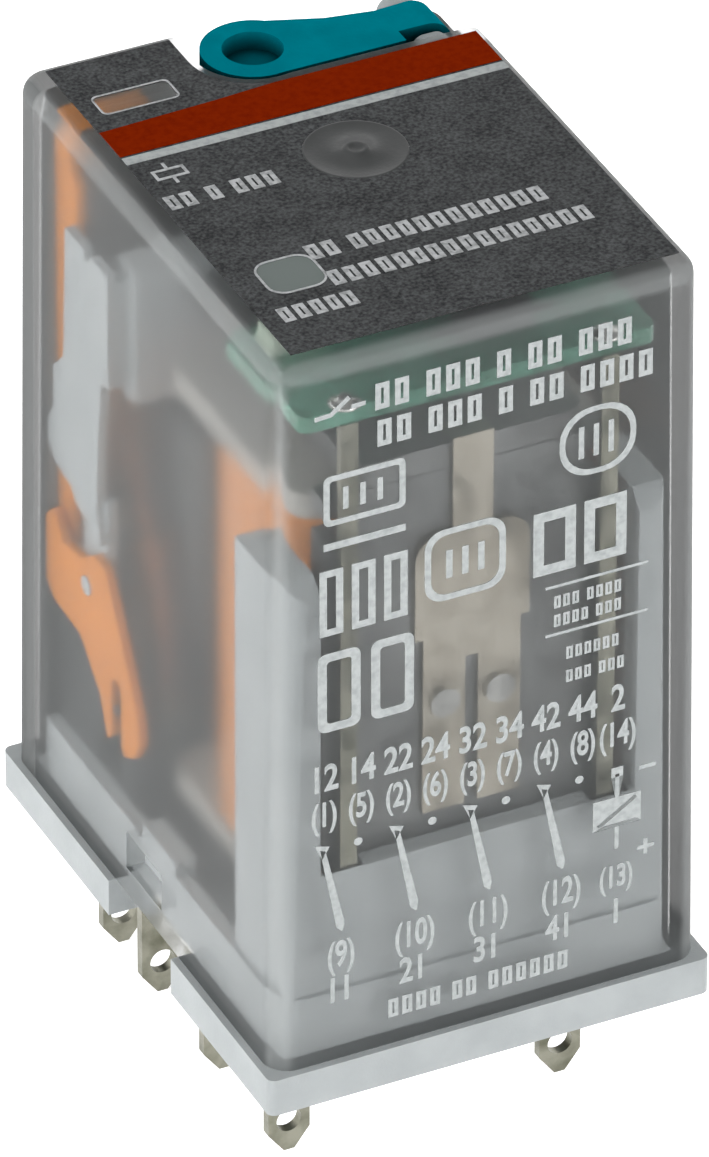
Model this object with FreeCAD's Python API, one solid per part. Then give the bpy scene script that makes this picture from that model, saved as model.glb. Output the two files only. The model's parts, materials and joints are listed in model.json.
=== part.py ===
"""Miniature four-pole plug-in relay: clear cover, test lever, indicator, magnet and fourteen plug blades.

Millimetres. +X is to the right along the printed front, +Y runs from the front to the back and +Z is up.
The origin is the centre of the footprint on the bottom rim of the base.
"""
import FreeCAD
import Part
import os

V = FreeCAD.Vector

# Overall size
WIDTH = 21.2
DEPTH = 27.6
HEIGHT = 37.6

# Base and cover
SKIRT_HEIGHT = 1.85
SKIRT_CORNER = 0.4
SKIRT_STEP = 0.35
SKIRT_RIM = 0.9
NOTCH_FRONT = -3.8
NOTCH_BACK = 2.6
NOTCH_DEPTH = 2.2
FLOOR_LOW = 0.9
FLOOR_TOP = 2.4
COVER_WALL = 0.9
COVER_DRAFT = 0.35
COVER_CORNER = 1.2
CUTOUT_WALL_TOP = 35.6
BAY_LOW = 34.75
SEAT_GAP = 0.05
RIB_HALF = 0.5
CROSS_RIB_Y = 2.7
LOCATING_TOP = 4.7
LOCATING_WALL = 0.7
FRONT_WALL_TOP = 10.8
FRONT_WALL_BACK = -11.35
POST_INNER = 7.5
POST_BACK = -7.6
POST_TOP = 26.0
LATCH_FRONT = -2.0
LATCH_BACK = 1.4
LATCH_LOW = 3.3
LATCH_TOP = 5.0
LATCH_REACH = 0.84

# Contact block
BLOCK_HALF = 7.75
BLOCK_FRONT = 4.9
BLOCK_WALL_FRONT = 11.2
BLOCK_LOW_TOP = 7.0
BLOCK_TOP = 24.0
BARRIER_HALF = 0.3
PEG_POST_OUTER = -8.5
SCREEN_FRONT = 11.8
SCREEN_RIGHT = -2.1
SCREEN_TOP = 34.0
SIDE_PAD_OUTER = -8.55
SIDE_PAD_FRONT = 7.2
SIDE_PAD_LOW = 4.8
SIDE_PAD_TOP = 10.4

# Plug blades
POLE_PITCH = 4.4
POLES = (-1.5 * POLE_PITCH, -0.5 * POLE_PITCH, 0.5 * POLE_PITCH, 1.5 * POLE_PITCH)
COIL_ROW = -7.1
COM_ROW = -0.5
NO_ROW = 5.9
NC_ROW = 10.0
BLADE_WIDTH = 2.0
BLADE_THICK = 0.5
BLADE_TIP = -7.35
TAPER_WIDTH = 0.75
TAPER_HEIGHT = 1.0
EYE_RADIUS = 0.6
EYE_HEIGHT = -5.75
SLOT_PLAY = 0.03

# Magnet
COIL_Y = -3.3
COIL_LOW = 6.3
COIL_TOP = 28.4
COIL_HALF_X = 7.15
COIL_HALF_Y = 6.15
BOBBIN_HALF_X = 7.3
BOBBIN_HALF_Y = 6.3
TAPE_THICK = 0.24
CORE_RADIUS = 2.6
POLE_RADIUS = 3.6
YOKE_THICK = 1.2
YOKE_FRONT = -11.2
YOKE_TOP = 29.3
YOKE_HALF = 6.9
LEAD_X = 5.85
LEAD_Z = COIL_TOP - 0.6
POLE_FACE = 28.82

# Armature and contacts
HINGE_Y = -10.2
ARMATURE_LOW = YOKE_TOP + 0.05
ARMATURE_THICK = 1.2
ARMATURE_HALF = 5.4
CONTACT_Z = 15.5
CONTACT_RADIUS = 0.95
SPRING_Y = 8.43
SPRING_THICK = 0.2
SPRING_WIDTH = 1.8
SPRING_LOW = 14.2
SPRING_TOP = 27.0
NO_FACE = 7.19
NC_FACE = 9.15
CONTACT_HEAD = 0.5
CARRIER_FRONT = 4.8
CARRIER_BACK = 6.5
CARRIER_LOW = 24.8
CARRIER_HALF = 7.85

# Indicator
PIVOT_Y = 7.5
PIVOT_Z = 14.1
PIVOT_RADIUS = 0.5
PEG_Y = 4.5
PEG_Z = 9.3
PEG_RADIUS = 0.25
FORK_HALF = 0.5
ARM_OUTER = 9.05
ARM_INNER = 8.65
CHEEK_OUTER = 8.95
CHEEK_INNER = 8.5
BAR_OUTER = 8.4
BAR_INNER = 8.0
BAR_FRONT = 9.5
FLAG_FRONT = 10.2
ARM_BACK = 11.7
RUNNING_PLAY = 0.05

# Test lever
LEVER_X = 7.75
LEVER_Z = 36.2
LEVER_TOP = 37.5
LEVER_LOW = 35.9
HEAD_X = 0.15
HEAD_Y = 10.4
HEAD_RADIUS = 2.3
TRUNNION_RADIUS = 0.6
BRACKET_FLOOR = 34.6

# Board
BOARD_LOW = 33.5
BOARD_THICK = 0.8


def box(x_low, x_high, y_low, y_high, z_low, z_high):
    """A box between two corners."""
    return Part.makeBox(x_high - x_low, y_high - y_low, z_high - z_low, V(x_low, y_low, z_low))


def rod(radius, length, start, direction):
    """A round rod from start along direction."""
    return Part.makeCylinder(radius, length, V(*start), V(*direction))


def outline(points):
    """A closed face through points."""
    corners = [V(*point) for point in points]
    return Part.Face(Part.makePolygon(corners + corners[:1]))


def side_plate(points, x_low, x_high):
    """A plate whose outline is given as (y, z) points."""
    return outline([(x_low, y, z) for y, z in points]).extrude(V(x_high - x_low, 0, 0))


def front_plate(points, y_low, y_high):
    """A plate whose outline is given as (x, z) points."""
    return outline([(x, y_low, z) for x, z in points]).extrude(V(0, y_high - y_low, 0))


def flat_plate(points, z_low, z_high):
    """A plate whose outline is given as (x, y) points."""
    return outline([(x, y, z_low) for x, y in points]).extrude(V(0, 0, z_high - z_low))


def edges_along(shape, direction, chosen=lambda middle: True):
    """Straight edges parallel to direction whose middle point passes the test."""
    found = []
    for edge in shape.Edges:
        if len(edge.Vertexes) < 2:
            continue
        run = edge.Vertexes[1].Point.sub(edge.Vertexes[0].Point)
        if run.Length < 1e-6 or run.cross(V(*direction)).Length > 0.05 * run.Length:
            continue
        if chosen(edge.CenterOfMass):
            found.append(edge)
    return found


def rounded_outline(half_x, half_y, z, corner):
    """A closed rounded rectangle wire at height z."""
    block = box(-half_x, half_x, -half_y, half_y, z, z + 1)
    block = block.makeFillet(corner, edges_along(block, (0, 0, 1)))
    bottom = min(block.Faces, key=lambda face: face.CenterOfMass.z)
    return bottom.OuterWire


def cover_half(z):
    """Half width and half depth of the outside of the cover at height z."""
    inset = COVER_DRAFT * (z - SKIRT_HEIGHT) / (HEIGHT - SKIRT_HEIGHT)
    return WIDTH / 2 - SKIRT_STEP - inset, DEPTH / 2 - SKIRT_STEP - inset


def inner_half(z):
    """Half width and half depth of the space inside the cover at height z."""
    half_x, half_y = cover_half(z)
    return half_x - COVER_WALL, half_y - COVER_WALL


def fitted_half(z):
    """Half width and half depth of a moulding that fits inside the cover at height z."""
    half_x, half_y = inner_half(z)
    return half_x - SEAT_GAP, half_y - SEAT_GAP


def make_cover():
    """Drafted open box with rounded edges, a lever cut-out in the top and latch windows in the sides."""
    low_x, low_y = cover_half(SKIRT_HEIGHT)
    top_x, top_y = cover_half(HEIGHT)
    outer = Part.makeLoft([rounded_outline(low_x, low_y, SKIRT_HEIGHT, COVER_CORNER),
                           rounded_outline(top_x, top_y, HEIGHT, COVER_CORNER)], True)
    lid = max(outer.Faces, key=lambda face: face.CenterOfMass.z)
    outer = outer.makeFillet(0.8, lid.Edges)
    inside_low_x, inside_low_y = inner_half(SKIRT_HEIGHT)
    inside_top_x, inside_top_y = inner_half(HEIGHT - COVER_WALL)
    inner_corner = COVER_CORNER - 0.7
    low_outline = rounded_outline(inside_low_x, inside_low_y, SKIRT_HEIGHT - 0.01, inner_corner)
    top_outline = rounded_outline(inside_top_x, inside_top_y, HEIGHT - COVER_WALL, inner_corner)
    inner = Part.makeLoft([low_outline, top_outline], True)
    cover = outer.cut(inner)
    cover = cover.cut(lever_cutout())
    for side in (-1, 1):
        window = box(side * 9 - 2, side * 9 + 2, LATCH_FRONT - 0.1, LATCH_BACK + 0.1,
                     LATCH_LOW - 0.1, LATCH_TOP + 0.1)
        cover = cover.cut(window)
    return cover


def lever_cutout():
    """Space cut out of the rear of the top for the lever: a deep round bay and a shallower straight slot."""
    front = 7.8
    radius = HEAD_RADIUS + 0.45
    above = HEIGHT + 1
    bay = rod(radius, above - BAY_LOW, (HEAD_X, HEAD_Y + 0.1, BAY_LOW), (0, 0, 1))
    bay = bay.fuse(box(HEAD_X - radius, HEAD_X + radius, HEAD_Y + 0.1, DEPTH / 2, BAY_LOW, above))
    slot = box(HEAD_X, WIDTH / 2, front, DEPTH / 2, CUTOUT_WALL_TOP, above)
    return bay.fuse(slot).removeSplitter()


def blade_slots(rows, z_low, z_high, width, thick):
    """Clearance boxes for blades that stand at (x, y) places."""
    half_x = width / 2 + SLOT_PLAY
    half_y = thick / 2 + SLOT_PLAY
    boxes = [box(x - half_x, x + half_x, y - half_y, y + half_y, z_low, z_high) for x, y in rows]
    return Part.makeCompound(boxes)


def blade_places():
    """The (x, y) places of the fourteen blades."""
    places = [(x, y) for y in (COM_ROW, NO_ROW, NC_ROW) for x in POLES]
    return places + [(POLES[0], COIL_ROW), (POLES[3], COIL_ROW)]


def make_base():
    """Moulded base: skirt, floor, locating wall, front wall with corner posts and latch tabs."""
    half_x = WIDTH / 2
    half_y = DEPTH / 2
    skirt = box(-half_x, half_x, -half_y, half_y, 0, SKIRT_HEIGHT)
    skirt = skirt.makeFillet(SKIRT_CORNER, edges_along(skirt, (0, 0, 1)))
    rim_x = half_x - SKIRT_RIM
    rim_y = half_y - SKIRT_RIM
    hollow = box(-rim_x, rim_x, -rim_y, rim_y, -1, FLOOR_LOW)
    hollow = hollow.cut(box(-RIB_HALF, RIB_HALF, -half_y, half_y, -1, FLOOR_LOW))
    hollow = hollow.cut(box(-half_x, half_x, CROSS_RIB_Y - RIB_HALF, CROSS_RIB_Y + RIB_HALF, -1, FLOOR_LOW))
    wall_x, wall_y = fitted_half(LOCATING_TOP)
    body = skirt.cut(hollow)
    body = body.fuse(box(-wall_x, wall_x, -wall_y, wall_y, SKIRT_HEIGHT - 0.65, FLOOR_TOP))
    for side in (-1, 1):
        near, far = sorted((side * (half_x - NOTCH_DEPTH), side * (half_x + 1)))
        body = body.cut(box(near, far, NOTCH_FRONT, NOTCH_BACK, -1, SKIRT_HEIGHT))
    rim = box(-wall_x, wall_x, -wall_y, wall_y - 1, FLOOR_TOP, LOCATING_TOP)
    inside = LOCATING_WALL - wall_x
    rim = rim.cut(box(inside, -inside, 1 - wall_y, wall_y, FLOOR_TOP, LOCATING_TOP))
    body = body.fuse(rim)
    high_x, high_y = fitted_half(POST_TOP + 1)
    body = body.fuse(box(-high_x, high_x, -high_y, FRONT_WALL_BACK, FLOOR_TOP, FRONT_WALL_TOP))
    for side in (-1, 1):
        near, far = sorted((side * POST_INNER, side * high_x))
        post = box(near, far, -high_y, POST_BACK, FLOOR_TOP, POST_TOP)
        top_edges = edges_along(post, (1, 0, 0), lambda middle: middle.z > POST_TOP - 1)
        top_front = [edge for edge in top_edges if edge.CenterOfMass.y < POST_BACK - 1]
        body = body.fuse(post.makeChamfer(0.8, top_front))
        tab_in, tab_out = sorted((side * (wall_x - 1), side * wall_x))
        body = body.fuse(box(tab_in, tab_out, LATCH_FRONT, LATCH_BACK, FLOOR_TOP, LATCH_TOP + 0.4))
        wedge = [(wall_x, LATCH_LOW), (wall_x + LATCH_REACH, LATCH_LOW),
                 (wall_x + LATCH_REACH, LATCH_TOP - 0.4), (wall_x, LATCH_TOP)]
        tab = front_plate([(side * x, z) for x, z in wedge], LATCH_FRONT + SEAT_GAP, LATCH_BACK - SEAT_GAP)
        body = body.fuse(tab)
    body = body.cut(coil_riser_slots())
    body = body.cut(blade_slots(blade_places(), -1, FLOOR_TOP + 1, BLADE_WIDTH, BLADE_THICK))
    return body.cut(corner_strips(FLOOR_TOP - 0.5)).removeSplitter()


def corner_strips(z_low):
    """Strips that round the upright corners of whatever stands inside the cover, from z_low up."""
    half_x, half_y = inner_half(z_low)
    strips = box(-half_x - 1, half_x + 1, -half_y - 1, half_y + 1, z_low, HEIGHT)
    low_x, low_y = inner_half(z_low)
    top_x, top_y = inner_half(HEIGHT)
    inside = Part.makeLoft([rounded_outline(low_x - SEAT_GAP, low_y - SEAT_GAP, z_low, COVER_CORNER),
                            rounded_outline(top_x - SEAT_GAP, top_y - SEAT_GAP, HEIGHT, COVER_CORNER)], True)
    return strips.cut(inside)


def coil_riser_slots():
    """Grooves in the front wall that pass the coil terminals' risers."""
    grooves = []
    for side in (-1, 1):
        near, far = sorted((side * 5.4, side * 7.3))
        grooves.append(box(near, far, -12.2, -11, FLOOR_TOP, 12))
    return Part.makeCompound(grooves)


def blade(x, y, top):
    """A plug blade with a tapered tip and a wire eye, up to the height top."""
    half = BLADE_WIDTH / 2
    shoulder = BLADE_TIP + TAPER_HEIGHT
    points = [(x - half, top), (x + half, top), (x + half, shoulder), (x + half - TAPER_WIDTH, BLADE_TIP),
              (x - half + TAPER_WIDTH, BLADE_TIP), (x - half, shoulder)]
    plate = front_plate(points, y - BLADE_THICK / 2, y + BLADE_THICK / 2)
    eye = rod(EYE_RADIUS, BLADE_THICK + 1, (x, y - BLADE_THICK / 2 - 0.5, EYE_HEIGHT), (0, 1, 0))
    return plate.cut(eye)


def make_coil_terminal(side):
    """Coil blade, a foot strip to the front and a riser that carries the board."""
    x = side * POLES[3]
    strip_low = FLOOR_TOP + 0.3
    strip_top = strip_low + BLADE_THICK
    terminal = blade(x, COIL_ROW, strip_top)
    strip = box(x - 0.6, x + 0.6, -12.1, COIL_ROW, strip_low, strip_top)
    riser_middle = side * 6.1
    riser = box(riser_middle - 0.4, riser_middle + 0.4, -12.1, -11.7, strip_low, BOARD_LOW)
    return terminal.fuse(strip).fuse(riser).removeSplitter()


def make_com_terminal(x):
    """Common blade with a low strip under the coil and a short riser for the flexible lead."""
    strip_low = FLOOR_TOP + 0.3
    strip_top = strip_low + BLADE_THICK
    terminal = blade(x, COM_ROW, strip_top)
    strip = box(x - 0.6, x + 0.6, COM_ROW, 4.4, strip_low, strip_top)
    riser = box(x - 0.6, x + 0.6, 3.9, 4.4, strip_low, 10.0)
    return terminal.fuse(strip).fuse(riser).removeSplitter()


def make_no_terminal(x):
    """Front fixed contact carrier, joggled back above the contact block, with a hole for its rivet."""
    low = NO_ROW - BLADE_THICK / 2
    jog = 0.4
    profile = [(low, 0), (low + BLADE_THICK, 0), (low + BLADE_THICK, 8.2), (low + BLADE_THICK + jog, 8.6),
               (low + BLADE_THICK + jog, 17.0), (low + jog, 17.0), (low + jog, 8.8), (low, 8.4)]
    upper = side_plate(profile, x - 0.9, x + 0.9)
    hole = rod(0.5, 3, (x, low - 1, CONTACT_Z), (0, 1, 0))
    return blade(x, NO_ROW, 2).fuse(upper).cut(hole).removeSplitter()


def make_nc_terminal(x):
    """Rear fixed contact carrier, straight, with a hole for its rivet."""
    low = NC_ROW - BLADE_THICK / 2
    upper = box(x - 0.9, x + 0.9, low, low + BLADE_THICK, 0, 17.4)
    hole = rod(0.5, 3, (x, low - 1, CONTACT_Z), (0, 1, 0))
    return blade(x, NC_ROW, 2).fuse(upper).cut(hole).removeSplitter()


def contact_rivet(x, head_start, head_end, shank_end, radius):
    """A contact: a head between two y places and a shank that runs on to shank_end."""
    low, high = sorted((head_start, head_end))
    head = rod(radius, high - low, (x, low, CONTACT_Z), (0, 1, 0))
    low, high = sorted((head_end, shank_end))
    shank = rod(0.49, high - low, (x, low, CONTACT_Z), (0, 1, 0))
    return head.fuse(shank).removeSplitter()


def make_no_contacts():
    """Four fixed contacts that face backwards."""
    seat = NO_ROW + BLADE_THICK / 2 + 0.4
    return [contact_rivet(x, NO_FACE, seat, seat - BLADE_THICK, CONTACT_RADIUS) for x in POLES]


def make_nc_contacts():
    """Four fixed contacts that face forwards."""
    seat = NC_ROW - BLADE_THICK / 2
    return [contact_rivet(x, NC_FACE, seat, seat + BLADE_THICK, CONTACT_RADIUS) for x in POLES]


def make_moving_spring(x):
    """Flat spring that hangs from the carrier and holds a double contact at its tip."""
    half = SPRING_WIDTH / 2
    leaf = box(x - half, x + half, SPRING_Y, SPRING_Y + SPRING_THICK, SPRING_LOW, SPRING_TOP)
    tip = edges_along(leaf, (0, 1, 0), lambda middle: middle.z < SPRING_LOW + 1)
    leaf = leaf.makeFillet(0.7, tip)
    return leaf.cut(rod(0.36, 2, (x, SPRING_Y - 1, CONTACT_Z), (0, 1, 0)))


def make_moving_contacts():
    """Four double contacts riveted through the moving springs."""
    contacts = []
    front = SPRING_Y - CONTACT_HEAD
    back = SPRING_Y + SPRING_THICK
    for x in POLES:
        contact = rod(CONTACT_RADIUS, CONTACT_HEAD, (x, front, CONTACT_Z), (0, 1, 0))
        contact = contact.fuse(rod(CONTACT_RADIUS, CONTACT_HEAD, (x, back, CONTACT_Z), (0, 1, 0)))
        contact = contact.fuse(rod(0.35, SPRING_THICK, (x, SPRING_Y, CONTACT_Z), (0, 1, 0)))
        contacts.append(contact.removeSplitter())
    return contacts


def cheek_outline():
    """Stepped outline of the carrier's cheeks as (y, z) points."""
    return [(5.3, 25.6), (5.3, 31.4), (7.0, 31.4), (7.4, 30.8), (7.8, 31.4), (9.6, 31.4), (9.9, 24.6),
            (11.0, 23.5), (11.0, 21.4), (11.6, 20.4), (11.6, 19.2), (10.9, 18.6), (9.2, 18.2),
            (8.8, 17.7), (6.2, 16.9), (6.6, 18.5), (6.4, 21.9), (6.0, 25.6)]


def make_contact_carrier():
    """Moulding on the rear of the armature: cross bar, spring clamp, two cheeks and the indicator's pivot."""
    top = ARMATURE_LOW + ARMATURE_THICK + 1.0
    bar = box(-CARRIER_HALF, CARRIER_HALF, CARRIER_FRONT, CARRIER_BACK, CARRIER_LOW, top)
    clamp_back = SPRING_Y + SPRING_THICK + 0.6
    clamp = box(-CARRIER_HALF, CARRIER_HALF, CARRIER_BACK - 0.1, clamp_back, CARRIER_LOW, SPRING_TOP + 0.5)
    bar = bar.fuse(clamp)
    pocket = box(-ARMATURE_HALF - 0.02, ARMATURE_HALF + 0.02, CARRIER_FRONT - 1, CARRIER_BACK - 0.8,
                 ARMATURE_LOW - 0.02, ARMATURE_LOW + ARMATURE_THICK + 0.02)
    bar = bar.cut(pocket)
    for x in POLES:
        grip = box(x - SPRING_WIDTH / 2 - 0.01, x + SPRING_WIDTH / 2 + 0.01, SPRING_Y - 0.01,
                   SPRING_Y + SPRING_THICK + 0.01, CARRIER_LOW - 1, SPRING_TOP + 0.01)
        bar = bar.cut(grip)
    for side in (-1, 1):
        low, high = sorted((side * CHEEK_INNER, side * CHEEK_OUTER))
        bar = bar.fuse(side_plate(cheek_outline(), low, high))
        low, high = sorted((side * (CARRIER_HALF - 0.2), side * (CHEEK_INNER + 0.1)))
        bar = bar.fuse(box(low, high, 5.3, 6.3, 25.7, 31.0))
    tail = side_plate([(6.2, 19.0), (6.2, 13.6), (6.8, 13.0), (8.2, 13.0), (8.7, 13.6), (8.7, 19.0)],
                      -CHEEK_INNER - 0.07, -CHEEK_INNER + 0.4)
    bar = bar.fuse(tail)
    pivot = rod(PIVOT_RADIUS - RUNNING_PLAY, ARM_OUTER - CHEEK_INNER + 0.2,
                (-ARM_OUTER - 0.05, PIVOT_Y, PIVOT_Z), (1, 0, 0))
    return bar.fuse(pivot).removeSplitter()


def make_armature():
    """Flat steel armature that rocks on the top of the yoke."""
    plate = box(-ARMATURE_HALF, ARMATURE_HALF, YOKE_FRONT, CARRIER_BACK - 0.85,
                ARMATURE_LOW, ARMATURE_LOW + ARMATURE_THICK)
    corners = edges_along(plate, (0, 0, 1), lambda middle: middle.y < HINGE_Y)
    return plate.makeFillet(0.8, corners)


def make_armature_rivets():
    """Two rivet heads that hold the carrier on the armature."""
    top = ARMATURE_LOW + ARMATURE_THICK + 1.0
    return [rod(0.9, 0.4, (x, 5.6, top), (0, 0, 1)) for x in (-3, 3)]


def make_yoke():
    """L-shaped steel yoke: a front plate notched for the winding leads, and a foot under the coil."""
    inner = YOKE_FRONT + YOKE_THICK
    profile = [(YOKE_FRONT, COIL_LOW - YOKE_THICK), (YOKE_FRONT, YOKE_TOP), (inner, YOKE_TOP),
               (inner, COIL_LOW), (COIL_Y + 3.6, COIL_LOW), (COIL_Y + 3.6, COIL_LOW - YOKE_THICK)]
    yoke = side_plate(profile, -YOKE_HALF, YOKE_HALF)
    bend = edges_along(yoke, (1, 0, 0), lambda middle: middle.y < YOKE_FRONT + 0.1 and middle.z < COIL_LOW)
    yoke = yoke.makeFillet(1.0, bend)
    for side in (-1, 1):
        near, far = sorted((side * (LEAD_X - 0.4), side * (YOKE_HALF + 1)))
        yoke = yoke.cut(box(near, far, YOKE_FRONT - 1, inner + 1, LEAD_Z - 0.5, LEAD_Z + 0.5))
    hole = rod(1.5, 4, (0, COIL_Y, COIL_LOW - 3), (0, 0, 1))
    return yoke.cut(hole)


def make_core():
    """Round iron core with a stepped foot and a wide pole head."""
    core = rod(CORE_RADIUS, POLE_FACE - COIL_LOW, (0, COIL_Y, COIL_LOW), (0, 0, 1))
    core = core.fuse(rod(POLE_RADIUS, POLE_FACE - COIL_TOP, (0, COIL_Y, COIL_TOP), (0, 0, 1)))
    foot = rod(1.49, YOKE_THICK, (0, COIL_Y, COIL_LOW - YOKE_THICK), (0, 0, 1))
    return core.fuse(foot).removeSplitter()


def make_coil_bobbin():
    """Bobbin: a tube with two round-cornered flanges."""
    flange = 1.2
    tube = rod(3.3, COIL_TOP - COIL_LOW, (0, COIL_Y, COIL_LOW), (0, 0, 1))
    for z in (COIL_LOW, COIL_TOP - flange):
        plate = box(-BOBBIN_HALF_X, BOBBIN_HALF_X, COIL_Y - BOBBIN_HALF_Y, COIL_Y + BOBBIN_HALF_Y,
                    z, z + flange)
        plate = plate.makeFillet(1.5, edges_along(plate, (0, 0, 1)))
        tube = tube.fuse(plate)
    bore = rod(CORE_RADIUS + 0.02, COIL_TOP, (0, COIL_Y, COIL_LOW - 1), (0, 0, 1))
    return tube.cut(bore).removeSplitter()


def oval_rod(half_x, half_y, low, height):
    """An upright rod of oval section round the coil's axis."""
    rim = Part.Ellipse(V(0, COIL_Y, low), half_x, half_y).toShape()
    return Part.Face(Part.Wire([rim])).extrude(V(0, 0, height))


def wound_span(margin):
    """Lowest height and length of what is wound on the bobbin, short of both flanges by margin."""
    low = COIL_LOW + 1.2 + margin
    return low, COIL_TOP - 1.2 - margin - low


def make_coil_winding():
    """The copper winding, oval outside and round inside."""
    low, height = wound_span(0.05)
    outer = oval_rod(COIL_HALF_X - TAPE_THICK - 0.01, COIL_HALF_Y - TAPE_THICK - 0.01, low, height)
    return outer.cut(rod(3.32, height + 2, (0, COIL_Y, low - 1), (0, 0, 1)))


def make_coil_tape():
    """The wrap around the winding."""
    low, height = wound_span(0.1)
    inner = oval_rod(COIL_HALF_X - TAPE_THICK, COIL_HALF_Y - TAPE_THICK, low - 1, height + 2)
    return oval_rod(COIL_HALF_X, COIL_HALF_Y, low, height).cut(inner)


def make_return_spring():
    """Leaf spring on the front of the yoke: two legs, a round-cornered body and a neck over the armature."""
    back = YOKE_FRONT - 0.01
    front = back - 0.25
    body = front_plate([(-2.7, 21.0), (2.7, 21.0), (2.7, 26.2), (-2.7, 26.2)], front, back)
    body = body.makeFillet(1.2, edges_along(body, (0, 1, 0), lambda middle: middle.z > 25))
    body = body.fuse(box(-0.95, 0.95, front, back, 26.0, 30.9))
    body = body.fuse(box(-0.95, 0.95, front, HINGE_Y, 30.7, 30.9))
    body = body.fuse(box(-2.3, 2.3, front, back, 19.6, 21.1))
    for side in (-1, 1):
        near, far = sorted((side * 0.3, side * 2.3))
        body = body.fuse(box(near, far, front, back, 12.0, 20.0))
        body = body.cut(rod(0.41, 2, (side * 1.3, front - 0.5, 17.6), (0, 1, 0)))
    return body.removeSplitter()


def make_spring_rivets():
    """Two rivets that hold the return spring to the yoke."""
    front = YOKE_FRONT - 0.26
    rivets = []
    for side in (-1, 1):
        head = rod(0.7, 0.2, (side * 1.3, front - 0.2, 17.6), (0, 1, 0))
        rivets.append(head.fuse(rod(0.4, 0.25, (side * 1.3, front, 17.6), (0, 1, 0))).removeSplitter())
    return rivets


def make_flexible_leads():
    """Four soft braided leads from the common risers to the moving springs, held clear of both."""
    leads = []
    for x in POLES:
        path = Part.BSplineCurve()
        sag = ((4.75, 9.0), (5.2, 12.5), (5.3, 17.5), (5.6, 21.0), (7.6, 23.2))
        path.interpolate([V(x, y, z) for y, z in sag])
        start = Part.makeCircle(0.22, V(x, 4.75, 9.0), path.tangent(path.FirstParameter)[0])
        wire = Part.Wire([path.toShape()]).makePipeShell([Part.Wire([start])], True, False)
        leads.append(wire)
    return leads


def make_contact_block():
    """Moulding round the contact terminals: floor, rear wall and screen, side pad, barriers and a peg."""
    back = fitted_half(SCREEN_TOP + 1)[1]
    half = BLOCK_HALF
    block = box(-half, half, BLOCK_FRONT, back, FLOOR_TOP, BLOCK_LOW_TOP)
    block = block.fuse(box(-half, half, BLOCK_WALL_FRONT, back, FLOOR_TOP, BLOCK_TOP))
    full = fitted_half(SCREEN_TOP + 1)[0]
    block = block.fuse(box(-full, full, SCREEN_FRONT, back, FLOOR_TOP, BLOCK_TOP))
    block = block.fuse(box(-full, SCREEN_RIGHT, SCREEN_FRONT, back, BLOCK_TOP - 1, SCREEN_TOP))
    block = block.fuse(box(-half, SCREEN_RIGHT, BLOCK_WALL_FRONT + 0.2, back, BLOCK_TOP - 1, SCREEN_TOP))
    block = block.fuse(box(SIDE_PAD_OUTER, 0.1 - half, SIDE_PAD_FRONT, back, SIDE_PAD_LOW, SIDE_PAD_TOP))
    for x in (-POLE_PITCH, 0, POLE_PITCH):
        barrier = box(x - BARRIER_HALF, x + BARRIER_HALF, BLOCK_FRONT + 0.1, BLOCK_WALL_FRONT + 0.1,
                      BLOCK_LOW_TOP - 0.1, BLOCK_TOP - 2)
        block = block.fuse(barrier)
    for row in (NO_ROW, NC_ROW):
        places = [(x, row) for x in POLES]
        block = block.cut(blade_slots(places, 0, BLOCK_LOW_TOP + 1, BLADE_WIDTH, BLADE_THICK))
    post = box(PEG_POST_OUTER, 0.1 - half, BLOCK_FRONT - 1, BLOCK_FRONT + 0.3, FLOOR_TOP, PEG_Z + 0.6)
    foot = box(PEG_POST_OUTER, -half, BLOCK_FRONT + 0.2, BLOCK_FRONT + 1.6, FLOOR_TOP, 2 * FLOOR_TOP + 0.2)
    block = block.fuse(post).fuse(foot)
    peg = rod(PEG_RADIUS, ARM_OUTER - 8.4, (-ARM_OUTER, PEG_Y, PEG_Z), (1, 0, 0))
    return block.fuse(peg).cut(corner_strips(1)).removeSplitter()


def make_lever_bracket():
    """Plate under the lever with two hinge ears, carried by a wall on top of the contact block."""
    right, back = fitted_half(BRACKET_FLOOR)
    floor = box(-2.6, right, 8.0, back, BRACKET_FLOOR - 0.6, BRACKET_FLOOR)
    wall = box(-2.0, right - 0.4, BLOCK_WALL_FRONT + 0.2, back, BLOCK_TOP, BRACKET_FLOOR - 0.5)
    bracket = floor.fuse(wall)
    for y_low, y_high in ((8.0, 8.75), (back - 0.75, back)):
        ear = box(LEVER_X - 0.85, LEVER_X + 0.85, y_low, y_high, BRACKET_FLOOR - 0.1, LEVER_Z + 0.95)
        ear = ear.makeFillet(0.6, edges_along(ear, (0, 1, 0), lambda middle: middle.z > LEVER_Z))
        bracket = bracket.fuse(ear)
    bore = rod(TRUNNION_RADIUS + RUNNING_PLAY, 6, (LEVER_X, 7, LEVER_Z), (0, 1, 0))
    peg_hole = rod(1.0, 3, (HEAD_X, HEAD_Y, BRACKET_FLOOR - 2), (0, 0, 1))
    return bracket.cut(bore).cut(peg_hole).cut(corner_strips(20)).removeSplitter()


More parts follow.
